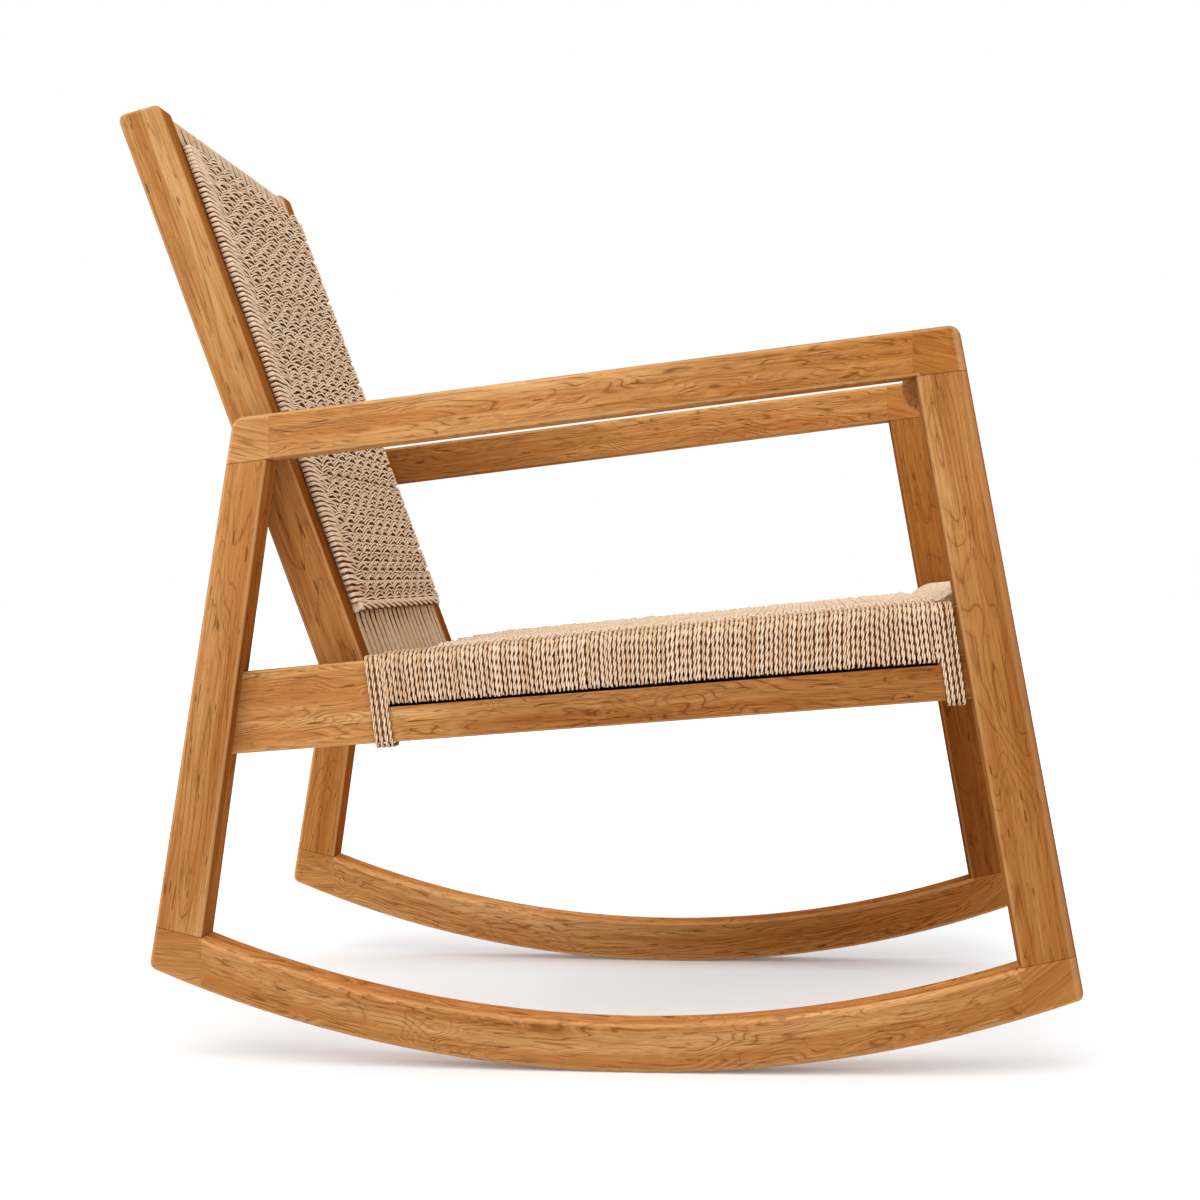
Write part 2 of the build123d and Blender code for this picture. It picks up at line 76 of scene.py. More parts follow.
# ---------------------------------------------------------------- sizes of the cord
cord_radius = 0.0020
cord_lift = 0.00235  # cord's middle over the wood under it
cord_bend = 0.0065  # how far from a corner of the wood a cord starts to bend
tube_sides = 6  # round each cord
ply_radius, ply_offset, ply_step, cord_lay = 0.00120, 0.00088, 0.0021, 0.0172
run_lean = 0.143  # how far forward a cord runs for its way down the outer face of a rail
wrap_pitch, wrap_count, wrap_start = 0.0041, 123, -0.2319
slot_cord_ends, slot_cord_count, slot_cord_pitch = (-0.2250, 0.2720), 4, 0.0039
seat_rear = -0.190  # behind it the cords of the side rails don't cross the seat
weft_reach, weft_steps = 0.2846, 88
weft_lift, warp_lift = 0.0022, 0.0023  # of the woven seat's middle over the cords on the rails
seat_swing = 0.0024  # of the woven cords, up and down
warp_pitch, group_pitch, group_size, group_count = 0.0041, 0.0176, 4, 32
lash_turns, lash_pitch, rear_lash_x, front_lash_x = 4, 0.0045, -0.2495, 0.2700
back_groups, back_group_size = 19, 5
back_group_width = (back_group_size - 1) * warp_pitch + 2 * cord_radius
back_pitch = (2 * post_inner - 0.003 - back_group_width) / (back_groups - 1)
row_pitch, cords_in_group, row_radius = 0.00507, 4, 0.00138
end_radius = 0.0024  # where a row's two cords lie together at the posts
row_count = int((weave_end - weave_start - 0.005) / row_pitch)
row_ahead = 0.0061  # of the cords' middles, at the posts
bundle_rows = 5  # that are gathered together on the sitter's left
arch_length, arch_rise = 2 * back_pitch, 0.0025


def rail_top(x):
    return rail_top_height + rail_top_slope * x


def rail_bottom(x):
    return rail_bottom_height + rail_bottom_slope * x


def on_back(along, ahead):
    """x and z of a point along the posts and ahead of their front faces."""
    x = back_foot_x - along * math.sin(back_lean) + ahead * math.cos(back_lean)
    return x, along * math.cos(back_lean) + ahead * math.sin(back_lean)


def smooth(value, low, high):
    """0 below low and 1 above high, with an easy turn at both ends."""
    t = np.clip((np.asarray(value, float) - low) / (high - low), 0, 1)
    return t * t * (3 - 2 * t)


def reached_at(line):
    """How far along the line each of its points lies."""
    return np.r_[0, np.cumsum(np.linalg.norm(np.diff(line[:, :3], axis=0), axis=1))]


def apart(line):
    """The same line without points that lie on the one before them."""
    return line[np.r_[True, np.linalg.norm(np.diff(line, axis=0), axis=1) > 1e-5]]


def rounded(points, reach, steps=3, closed=False):
    """The line through points with each corner bent over reach on both sides."""
    points = np.asarray(points, float)
    count = len(points)
    line = []
    for i, corner in enumerate(points):
        if not closed and i in (0, count - 1):
            line.append(corner)
            continue
        ends = []
        for other in (points[i - 1], points[(i + 1) % count]):
            away = other - corner
            ends.append(corner + away * min(reach / max(np.linalg.norm(away), 1e-9), 0.5))
        for t in np.linspace(0, 1, steps + 1):
            line.append((1 - t) ** 2 * ends[0] + 2 * t * (1 - t) * corner + t * t * ends[1])
    return apart(np.array(line))


def even(line, step, closed=False):
    """The same line with points a step apart."""
    if closed:
        line = np.vstack([line, line[:1]])
    gone = reached_at(line)
    count = max(int(round(gone[-1] / step)), 2)
    spots = np.linspace(0, gone[-1], count + 1)
    if closed:
        spots = spots[:-1]
    return np.stack([np.interp(spots, gone, line[:, k]) for k in range(3)], axis=1)


def plies(line, closed=False, start=0.0):
    """Two thinner lines twisted round a line that runs across the x direction."""
    line = even(line, ply_step, closed)
    ahead, behind = np.roll(line, -1, axis=0), np.roll(line, 1, axis=0)
    if not closed:
        ahead[-1], behind[0] = line[-1], line[0]
    run = ahead - behind
    run /= np.linalg.norm(run, axis=1)[:, None]
    side = np.array([1.0, 0, 0]) - run[:, :1] * run
    side /= np.linalg.norm(side, axis=1)[:, None]
    over = np.cross(run, side)
    turns = len(line) * ply_step / cord_lay
    if closed:
        turns = round(turns)
    angle = start + full_turn * turns * np.arange(len(line)) / len(line)
    swing = np.cos(angle)[:, None] * side + np.sin(angle)[:, None] * over
    return [line + ply_offset * swing, line - ply_offset * swing]


# ---------------------------------------------------------------- cords as pieces
def tube_mesh(name, lines, radius, closed):
    """Round tubes along the lines. A fourth number at a point makes the cord that many times as thick."""
    curve = bpy.data.curves.new(name, "CURVE")
    curve.dimensions = "3D"
    curve.bevel_depth, curve.bevel_resolution = radius, tube_sides // 2 - 2
    curve.use_fill_caps = not closed
    for line in lines:
        spline = curve.splines.new("POLY")
        spline.points.add(len(line) - 1)
        shifted = line[:, :3] + np.array([floor_x, 0, 0])
        spline.points.foreach_set("co", np.c_[shifted, np.ones(len(line))].ravel())
        if line.shape[1] == 4:
            spline.points.foreach_set("radius", np.ascontiguousarray(line[:, 3]))
        spline.use_cyclic_u = closed
    carrier = bpy.data.objects.new(name + "_line", curve)
    mesh = bpy.data.meshes.new_from_object(carrier)
    bpy.data.objects.remove(carrier)
    bpy.data.curves.remove(curve)
    mesh.name = name
    return mesh


def map_cords(mesh, lines, tones, closed):
    """Gives each corner its metres along its cord and its share around it, and each cord its tone.

    The tubes' caps come first in the mesh, the last line's first, and then the rings of every line.
    """
    rings = sum(len(line) for line in lines)
    caps = 0 if closed else 2 * tube_sides * len(lines)
    assert len(mesh.vertices) == caps + rings * tube_sides, mesh.name
    reached, total, first = np.zeros(rings), np.zeros(rings), np.zeros(rings, bool)
    tone = np.zeros(len(mesh.vertices), np.float32)
    at = 0
    for i, line in enumerate(lines):
        end = at + len(line)
        reached[at:end] = reached_at(line)
        total[at:end] = reached[end - 1] + np.linalg.norm(line[0, :3] - line[-1, :3])
        first[at] = True
        tone[caps + at * tube_sides : caps + end * tube_sides] = tones[i]
        if caps:
            cap = 2 * tube_sides * (len(lines) - 1 - i)
            tone[cap : cap + 2 * tube_sides] = tones[i]
        at = end

    corners = np.empty(len(mesh.loops), np.int64)
    mesh.loops.foreach_get("vertex_index", corners)
    sizes = np.empty(len(mesh.polygons), np.int64)
    mesh.polygons.foreach_get("loop_total", sizes)
    wall = np.repeat(sizes == 4, sizes)
    quads = corners[wall].reshape(-1, 4) - caps
    ring, side = quads // tube_sides, quads % tube_sides
    back_at_start = (np.ptp(ring, axis=1) > 1)[:, None] & first[ring]
    along = np.where(back_at_start, total[ring], reached[ring])
    once_around = (np.ptp(side, axis=1) > 1)[:, None] & (side == 0)
    around = np.where(once_around, 1.0, side / tube_sides)
    uv = np.zeros((len(corners), 2), np.float32)
    uv[wall] = np.stack([along, around], axis=2).reshape(-1, 2)
    layer = mesh.uv_layers[0] if mesh.uv_layers else mesh.uv_layers.new(name="cord")
    layer.name = "cord"
    layer.data.foreach_set("uv", uv.ravel())
    mesh.attributes.new("tone", "FLOAT", "POINT").data.foreach_set("value", tone)


def wind(name, lines, radius, replaces, finish, closed=False, tones=None):
    """One piece made of many cords, each with its own tone."""
    lines = [apart(line) for line in lines]
    mesh = tube_mesh(name, lines, radius, closed)
    if tones is None:
        tones = chance.normal(0, 1, len(lines))
    map_cords(mesh, lines, tones, closed)
    mesh.polygons.foreach_set("use_smooth", np.ones(len(mesh.polygons), bool))
    mesh.materials.clear()
    mesh.materials.append(finish)
    piece = bpy.data.objects.new(name, mesh)
    bpy.context.scene.collection.objects.link(piece)
    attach(piece, "root")
    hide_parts(*replaces)


# ---------------------------------------------------------------- finishes
def paint(red, green, blue):
    """Linear colour from the 0 to 255 numbers of a paint chart."""

    def linear(value):
        value /= 255
        return value / 12.92 if value <= 0.04045 else ((value + 0.055) / 1.055) ** 2.4

    return linear(red), linear(green), linear(blue), 1.0


class Wire:
    """A node's output. Arithmetic on it adds Math nodes."""

    def __init__(self, finish, socket):
        self.finish, self.socket = finish, socket

    def math(self, operation, *values):
        return self.finish.node("ShaderNodeMath", {"operation": operation}, dict(enumerate(values)))

    def __add__(self, other):
        return self.math("ADD", self, other)

    def __sub__(self, other):
        return self.math("SUBTRACT", self, other)

    def __rsub__(self, other):
        return self.math("SUBTRACT", other, self)

    def __mul__(self, other):
        return self.math("MULTIPLY", self, other)

    def __truediv__(self, other):
        return self.math("DIVIDE", self, other)

    def __rtruediv__(self, other):
        return self.math("DIVIDE", other, self)

    def __pow__(self, other):
        return self.math("POWER", self, other)

    def __rpow__(self, other):
        return self.math("POWER", other, self)

    def __abs__(self):
        return self.math("ABSOLUTE", self)

    __radd__, __rmul__ = __add__, __mul__

    def fold(self):
        """Up from 0 to 0.5 and back again for each step of 1."""
        return self.math("PINGPONG", self, 0.5)

    def sine(self):
        return self.math("SINE", self)


class Finish:
    """A procedural material that is built node by node."""

    def __init__(self, name):
        self.material = bpy.data.materials.new(name)
        self.material.use_nodes = True
        self.tree = self.material.node_tree
        self.shader = self.tree.nodes["Principled BSDF"]

    def node(self, kind, settings=None, inputs=None, output=0):
        """Adds a node: its settings first, then the values or wires of its inputs."""
        made = self.tree.nodes.new(kind)
        for key, value in (settings or {}).items():
            setattr(made, key, value)
        for key, value in (inputs or {}).items():
            if isinstance(value, Wire):
                self.tree.links.new(value.socket, made.inputs[key])
            else:
                made.inputs[key].default_value = value
        return Wire(self, made.outputs[output])

    def here(self):
        return self.node("ShaderNodeTexCoord", output="Object")

    def facing(self):
        return self.node("ShaderNodeTexCoord", output="Normal")

    def split(self, vector):
        parts = self.node("ShaderNodeSeparateXYZ", None, {0: vector})
        return [Wire(self, socket) for socket in parts.socket.node.outputs]

    def join(self, x, y, z):
        return self.node("ShaderNodeCombineXYZ", None, {0: x, 1: y, 2: z})

    def mapped(self, vector, scale=(1, 1, 1), shift=(0, 0, 0), turn=(0, 0, 0)):
        inputs = {"Vector": vector, "Scale": scale, "Location": shift, "Rotation": turn}
        return self.node("ShaderNodeMapping", None, inputs)

    def noise(self, vector, scale, detail=2.0, roughness=0.5, distortion=0.0):
        inputs = {"Vector": self.mapped(vector, scale), "Scale": 1.0, "Detail": detail}
        inputs.update({"Roughness": roughness, "Distortion": distortion})
        return self.node("ShaderNodeTexNoise", None, inputs)

    def band(self, value, low, high, to_low=0.0, to_high=1.0):
        """value from low to high becomes to_low to to_high, with easy turns."""
        inputs = {0: value, 1: low, 2: high, 3: to_low, 4: to_high}
        return self.node("ShaderNodeMapRange", {"interpolation_type": "SMOOTHSTEP"}, inputs)

    def blend(self, share, first, second, mode="MIX"):
        settings = {"data_type": "RGBA", "blend_type": mode, "clamp_factor": True}
        return self.node("ShaderNodeMix", settings, {0: share, 6: first, 7: second}, 2)

    def bumps(self, height, distance):
        return self.node("ShaderNodeBump", None, {"Strength": 1.0, "Distance": distance, "Height": height})

    def finish(self, colour, roughness, normal=None, **fixed):
        """Wires the shader; numbers that are the same everywhere sit on its own sockets."""
        for key, value in (("Base Color", colour), ("Roughness", roughness), ("Normal", normal)):
            if isinstance(value, Wire):
                self.tree.links.new(value.socket, self.shader.inputs[key])
            elif value is not None:
                self.shader.inputs[key].default_value = value
        for key, value in fixed.items():
            self.shader.inputs[key.replace("_", " ")].default_value = value
        return self.material


def below_rail_top(x, z):
    """How far a point of a finish lies below the top of a side rail."""
    return rail_top_height + (x - floor_x) * rail_top_slope - z


# ---------------------------------------------------------------- oiled wood
wood_tones = {
    "honey": paint(201, 149, 93),
    "pale": paint(213, 168, 116),
    "deep": paint(172, 113, 60),
    "figure": paint(114, 65, 28),
    "knot": paint(78, 42, 18),
    # painted highlight for the rounded edges
    "arris": paint(232, 186, 132),
}
strong_swirl = 0.8  # above it the wood has short ripples too


def grain_place(f, angle, seed, blocks):
    """Places along, across and through the grain, and the share of end blocks with grain of their own."""
    here = f.here()
    x, y, z = f.split(here)
    if angle == "bent":
        forward, down = x - floor_x, rocker_radius - z
        along = forward.math("ARCTAN2", forward, down) * rocker_radius
        grain = f.join(along, y, (forward * forward + down * down) ** 0.5 - rocker_radius)
    elif angle == "across":
        grain = f.mapped(here, turn=(0, 0, -math.pi / 2))
    else:
        grain = f.mapped(here, turn=(0, math.radians(angle), 0))
    grain = f.mapped(grain, shift=(seed * 1.37 % 5, seed * 0.71 % 3, seed * 2.13 % 7))
    if not blocks:
        return grain, None
    low, high = (floor_x + end for end in blocks)
    joint = 0.0004
    ends = f.band(x, high, high + joint) + f.band(x, low - joint, low, 1, 0)
    u, v, w = f.split(grain)
    u, v, w = u * (1 - ends * 0.45) + ends * 3.1, v + ends * 0.7, w + ends * 1.3 + u * ends * 0.35
    return f.join(u, v, w), ends


def rippled(f, colour, grain, field, tones):
    """Short wavy lines across the swirls, each with a pale one beside it."""
    u, _, w = f.split(grain)
    ripple = (w * 215 + u * 16 + field * 15).fold()
    broken = f.band(f.noise(grain, (26, 60, 105), 1.0), 0.44, 0.56)
    line = f.band(ripple, 0.02, 0.16, 1.0, 0.0) * broken
    colour = f.blend(line * 0.62, colour, tones["figure"])
    return f.blend(f.band(ripple, 0.30, 0.48) * broken * 0.30, colour, tones["pale"])


def figured(f, grain, swirl, tones):
    """Colour, roughness and height of wood, with its streaks, growth lines, fibres, pores and knots."""
    broad = f.noise(grain, (1.6, 9, 16), 2.0)
    streak = f.noise(grain, (3.2, 45, 90), 3.0, 0.6)
    fibre = f.noise(grain, (16, 420, 620), 2.0, 0.6)
    field_scale = (2.2 + 4.5 * swirl, 12, 15 + 14 * swirl)
    field = f.noise(grain, field_scale, 2.0, 0.42, 0.25 + 0.5 * swirl)
    wave = (field * (22 - 2 * swirl)).fold()
    fade = f.band(f.noise(grain, (5, 22, 30), 1.0), 0.40, 0.60)
    thin_line = f.band(wave, 0.0, 0.075 + 0.02 * swirl, 1.0, 0.0)
    thin_line = thin_line * (fade * (0.75 - 0.25 * swirl) + 0.25 * (1 - swirl))
    soft_line = f.band(wave, 0.0, 0.5, 1.0, 0.0)
    pores = f.band(f.noise(grain, (60, 500, 760), 1.0, 0.5), 0.66, 0.74)
    flecks = f.band(f.noise(grain, (34, 190, 330), 1.0, 0.5), 0.70, 0.74)
    dashes = f.noise(grain, (13 + 9 * swirl, 150, 300), 2.0, 0.55, 0.3 + swirl)
    dashes = f.band(dashes, 0.585, 0.66)
    cells = {"Vector": f.mapped(grain, (9, 22, 25)), "Scale": 1.0}
    knot = f.band(f.node("ShaderNodeTexVoronoi", {"feature": "F1"}, cells), 0.035, 0.065, 1.0, 0.0)

    colour = f.blend(f.band(streak + broad * 0.5, 0.52, 1.0), tones["deep"], tones["honey"])
    colour = f.blend(f.band(broad + streak * 0.6, 0.80, 1.08) * 0.75, colour, tones["pale"])
    colour = f.blend(soft_line * (0.22 + 0.12 * swirl), colour, tones["deep"])
    colour = f.blend(thin_line * (0.50 + 0.2 * swirl), colour, tones["figure"])
    if swirl > strong_swirl:
        colour = rippled(f, colour, grain, field, tones)
    colour = f.blend(f.band(fibre, 0.42, 0.62, 0.20, 0.0), colour, tones["figure"])
    colour = f.blend(pores * 0.34, colour, tones["figure"])
    colour = f.blend(dashes * 0.34, colour, tones["figure"])
    colour = f.blend(flecks * 0.62, colour, tones["knot"])
    colour = f.blend(knot * 0.5, colour, tones["knot"])
    rough = f.band(fibre + streak * 0.5, 0.4, 1.0, 0.56, 0.44)
    return colour, rough, fibre * 0.35 - thin_line * 0.8 - pores * 0.9 - flecks * 1.2 - dashes * 0.7


def shaded(f, colour, painted_shade, bent, tones):
    """Painted shade where the wood lies in shade and on faces that look to the front, painted light on the
    tops of the rockers, and a painted highlight on the rounded edges.
    """
    x, _, z = f.split(f.here())
    # Painted shade: darker between two places along an axis.
    if painted_shade:
        axis, start, end, shade = painted_shade
        place = x - floor_x if axis == "x" else z
        share = f.band(place, start, end) if start < end else f.band(place, end, start, 1.0, 0.0)
        colour = f.blend(share, colour, shade, "MULTIPLY")
    toward_x, toward_y, toward_z = f.split(f.facing())
    if bent:
        # Painted light: the tops of the rockers are painted paler.
        colour = f.blend(f.band(toward_z, 0.3, 0.8), colour, (1.45, 1.38, 1.25, 1), "MULTIPLY")
    # Painted shade: faces that look to the front are painted darker.
    colour = f.blend(f.band(toward_x, 0.35, 0.85), colour, (0.76, 0.56, 0.34, 1), "MULTIPLY")
    # Painted highlight along the rounded edges.
    level = abs(toward_y)
    arris = f.band(level * (1.0001 - level * level) ** 0.5 * 2, 0.55, 1.0)
    return f.blend(arris * 0.30, colour, tones["arris"])


def with_seams(f, colour, seams, tones):
    """Fine dark joints; each has the x and z of a point on it and its slope in the side view."""
    x, _, z = f.split(f.here())
    dark = 0.0
    for seam_x, seam_z, slope in seams:
        away = abs(z - seam_z - (x - (floor_x + seam_x)) * slope)
        dark = dark + f.band(away, 0.0003, 0.0011, 1.0, 0.0)
    return f.blend(dark * 0.75, colour, tones["knot"])


def with_dark_slot(f, colour):
    """Hardly any light gets into the slot of a side rail."""
    x, y, z = f.split(f.here())
    depth, side = below_rail_top(x, z), abs(y)
    hidden = f.band(side, rail_side - 0.0005, rail_side - 0.0001, 1.0, 0.0)
    hidden = hidden * f.band(side, inner_side + 0.0002, inner_side + 0.0010)
    hidden = hidden * f.band(depth, 0.030, 0.034) * f.band(depth, 0.0485, 0.0515, 1.0, 0.0)
    from_middle = abs(x - floor_x - slot_middle)
    hidden = hidden * f.band(from_middle, slot_half, slot_half + 0.0015, 1.0, 0.0)
    return f.blend(hidden, colour, paint(26, 14, 8))


def wood(name, angle, seed, swirl=0.0, blocks=None, seams=(), tint=(1, 1, 1), painted_shade=None, slotted=False):
    """Oiled wood. angle is the grain's in the side view, "across" for along Y, or "bent" along a rocker.

    The zone of painted shade names an axis, the two places between which painted shade darkens the wood, and
    the tint it ends with.
    """
    tones = {key: tuple(a * b for a, b in zip(value, (*tint, 1))) for key, value in wood_tones.items()}
    f = Finish(name)
    grain, ends = grain_place(f, angle, seed, blocks)
    colour, rough, height = figured(f, grain, swirl, tones)
    if blocks:
        colour = f.blend(ends * 0.40, colour, tones["deep"])
    colour = shaded(f, colour, painted_shade, angle == "bent", tones)
    if seams:
        colour = with_seams(f, colour, seams, tones)
    if slotted:
        colour = with_dark_slot(f, colour)
    return f.finish(colour, rough, f.bumps(height, 0.00028), Specular_IOR_Level=0.0)


# ---------------------------------------------------------------- paper cord
# The dark brown colours the fine twist lines of the paper and is the painted shade in the grooves between
# plies and in the gaps between cords.
cream, tan, line_and_shade_brown = paint(249, 222, 192), paint(214, 171, 129), paint(104, 60, 29)
paper_lay = 0.0085  # of the paper within a cord


def between_bunches(f, toward, patch, bunch):
    """Share of painted shade between bunches of cords a bunch apart, most of it beside the weave of the
    back.
    """
    _, y, z = f.split(f.here())
    between = f.band(abs((y / bunch + 20.5).fold()), 0.17, 0.24, 1.0, 0.0)
    between = between * f.band(abs(toward), 0.1, 0.5) * f.band(patch, 0.36, 0.56, 0.35, 1.0)
    beside_weave = f.band(z, 0.380, 0.410, 0.30, 1.0) * f.band(z, 0.862, 0.880, 1.0, 0.25)
    return between * beside_weave


def within_slot(f, depth, y, facing):
    """Share of painted shade on a cord that lies in the slot of a side rail and faces out of it."""
    _, facing_y, _ = f.split(facing)
    inside = f.band(depth, 0.012, 0.020) * f.band(depth, 0.052, 0.056, 1.0, 0.0)
    inside = inside * f.band(abs(y), rail_side - 0.0006, rail_side + 0.0006, 1.0, 0.0)
    return inside * f.band(facing_y * y / abs(y), 0.1, 0.4)


def paper(name, twist, sideways, gap_shade, in_slot=False, bunch=0.0, pale=0.0):
    """Twisted paper cord; the map runs in metres along each cord and once around it.

    sideways is the direction to the cords beside it; the gap shading holds the two shares of the normal
    along it between which a cord's side is painted with shade from the gap, and how deep that painted shade
    is. bunch is the pitch of the bunches across the chair, with painted shade between them, and a higher
    pale brings the paper nearer to cream.
    """
    f = Finish(name)
    along, around, _ = f.split(f.node("ShaderNodeUVMap", {"uv_map": "cord"}))
    tone = f.node("ShaderNodeAttribute", {"attribute_name": "tone"}, None, "Fac")
    fine = ((along / paper_lay + around) * (6 * full_turn) + tone * 5).sine()
    here, facing = f.here(), f.facing()
    patch = f.noise(here, (38, 38, 38), 2.0)
    fleck = f.noise(here, (900, 900, 900), 1.0)
    share = tone * 0.10 + patch * 0.2 + fleck * 0.5 + (0.17 + pale)
    colour = f.blend(f.band(share, 0.15, 0.85), tan, cream)
    colour = f.blend(f.band(fine, -1.0, 0.2, 0.22, 0.0), colour, line_and_shade_brown)
    height = fine * 0.12 + fleck * 0.25
    if twist:
        # The twist's ridges, with painted shade in the grooves between the plies.
        ridge = ((along / cord_lay + around) * (2 * full_turn) + tone * 9).sine() * 0.5 + 0.5
        colour = f.blend(f.band(ridge, 0.0, 0.35, twist * 0.5, 0.0), colour, line_and_shade_brown)
        height = height + ridge ** 0.6 * twist
    dot = {"operation": "DOT_PRODUCT"}
    toward = f.node("ShaderNodeVectorMath", dot, {0: facing, 1: sideways}, "Value")
    # Painted shade: the sides of a cord that turn toward its neighbours are painted brown, and on the wraps
    # it is lighter over the top of a side rail.
    low, high, brown = gap_shade
    gap = f.band(abs(toward), low, high, 0.0, brown)
    if in_slot:
        x, y, z = f.split(here)
        depth = below_rail_top(x, z)
        gap = gap * f.band(depth, 0.0, 0.014, 0.35, 1.0)
    colour = f.blend(gap, colour, line_and_shade_brown)
    # Painted shade between the bunches of cords up and down the back.
    if bunch:
        colour = f.blend(between_bunches(f, toward, patch, bunch), colour, paint(58, 32, 16))
    # Painted shade: cords in the slot of a side rail are painted nearly black.
    if in_slot:
        colour = f.blend(within_slot(f, depth, y, facing), colour, paint(30, 18, 10))
    return f.finish(colour, 0.8, f.bumps(height, 0.0009), Specular_IOR_Level=0.0)


def metal(name, colour, rough_low, rough_high):
    f = Finish(name)
    grain = f.noise(f.here(), (900, 900, 900), 2.0)
    shade = f.blend(f.band(grain, 0.3, 0.7, 0.0, 0.35), colour, paint(120, 112, 100))
    rough = f.band(grain, 0.3, 0.7, rough_low, rough_high)
    return f.finish(shade, rough, f.bumps(grain, 0.00005), Metallic=1.0)


# ---------------------------------------------------------------- wood and metal onto the model's own pieces
arm_seam = (0.0, 0.5965, 0.1218)
rear_seams = (arm_seam, (rear_leg_front, 0.1166, -0.2217))
front_seams = (arm_seam, (front_leg_rear, 0.0993, 0.2217))
# grain, swirl, end blocks, seams and where painted shade darkens the wood
wood_plan = {
    "rocker": ("bent", 0.9, (rear_leg_front, front_leg_rear), (), ("x", 0.0, 0.38, (0.93, 0.90, 0.82, 1))),
    "armrest": (6.94, 0.9, (arm_rear_block, arm_front_block), (), ("x", -0.1, 0.25, (0.74, 0.61, 0.42, 1))),
    "seat_rail": (5.01, 1.0, None, (), ("x", -0.26, -0.10, (0.62, 0.50, 0.39, 1))),
    "rear_leg": (81.7, 0.12, None, rear_seams, ("z", 0.55, 0.25, (0.78, 0.70, 0.62, 1))),
    "front_leg": (100.2, 0.2, None, front_seams, ("z", 0.55, 0.30, (0.80, 0.73, 0.62, 1))),
    "back_post": (110.45, 0.0, None, (), ("z", 0.60, 0.50, (0.76, 0.68, 0.60, 1))),
}
# Where painted shade darkens the pieces of the left side, where they differ from the right.
left_painted_shade = {
    "rocker": ("x", -0.20, 0.20, (0.66, 0.52, 0.36, 1)),
    "armrest": ("x", 0.0, -0.22, (0.74, 0.68, 0.62, 1)),
    "front_leg": ("z", 0.46, 0.30, (0.62, 0.50, 0.38, 1)),
}
# Each piece's tint is partly its own tone and partly painted light and shade for how brightly it is lit.
tints_and_painted_light = {
    "right_rocker": (0.84, 0.80, 0.78),
    "right_front_leg": (0.78, 0.70, 0.62),
    "right_back_post": (0.90, 0.88, 0.84),
    "left_armrest": (0.94, 0.86, 0.72),
    "left_front_leg": (0.70, 0.58, 0.42),
    "left_rear_leg": (1.16, 1.16, 1.10),
    "left_back_post": (0.90, 0.82, 0.70),
}


def put_on(node_name, finish):
    nodes[node_name].data.materials.clear()
    nodes[node_name].data.materials.append(finish)


def finish_side_frames():
    seed = 3
    for kind, (angle, swirl, blocks, seams, right_painted_shade) in wood_plan.items():
        for side_name in ("right", "left"):
            node_name = f"{side_name}_{kind}"
            tint = tints_and_painted_light.get(node_name, (1, 1, 1))
            painted_shade = left_painted_shade.get(kind, right_painted_shade) if side_name == "left" else right_painted_shade
            slotted = kind == "seat_rail"
            finish = wood(node_name + "_wood", angle, seed, swirl, blocks, seams, tint, painted_shade, slotted)
            put_on(node_name, finish)
            seed += 1


def finish_other_pieces():
    cross_wood = wood("cross_rail_wood", "across", seed=31, swirl=0.3)
    block_wood = wood("corner_block_wood", "across", seed=37, swirl=0.5)
    tenon_wood = wood("tenon_wood", 81.7, seed=41)
    steel = metal("nail_steel", paint(190, 190, 188), 0.28, 0.45)
    insert_brass = metal("insert_brass", paint(206, 170, 92), 0.25, 0.4)
    cross_rails = ("front_seat_rail", "rear_seat_rail", "top_back_rail", "bottom_back_rail")
    chosen = {name: cross_wood for name in cross_rails}
    chosen["right_corner_block"] = block_wood
    for name in nodes:
        if name.endswith("tenons"):
            chosen[name] = tenon_wood
        elif name.endswith(("nails", "bolts", "screw")):
            chosen[name] = steel
        elif name.endswith("inserts"):
            chosen[name] = insert_brass
    for name, finish in chosen.items():
        put_on(name, finish)


finish_side_frames()
finish_other_pieces()
up_back = (-math.sin(back_lean), 0, math.cos(back_lean))
wrap_paper = paper("wrapped_cord_paper", 0, (1, 0, 0), (0.44, 0.92, 1.0), in_slot=True, pale=0.02)
seat_weft_paper = paper("seat_weft_paper", 0.35, (1, 0, 0), (0.80, 1.0, 0.35), pale=0.7)
seat_warp_paper = paper("seat_warp_paper", 0.8, (0, 1, 0), (0.84, 1.0, 0.5), pale=0.4)
back_warp_paper = paper("back_warp_paper", 0.4, (0, 1, 0), (0.70, 0.97, 0.7), bunch=back_pitch)
back_weft_paper = paper("back_weft_paper", 0.3, up_back, (0.40, 0.94, 0.95), pale=0.2)


# ---------------------------------------------------------------- seat: cords across the chair
def wrap_lean(x):
    """How far a wrap runs forward for its way down the outer face; those in the middle hang straight."""
    return run_lean * (1 - smooth(x, -0.23, 0.12) + smooth(x, 0.19, 0.27))


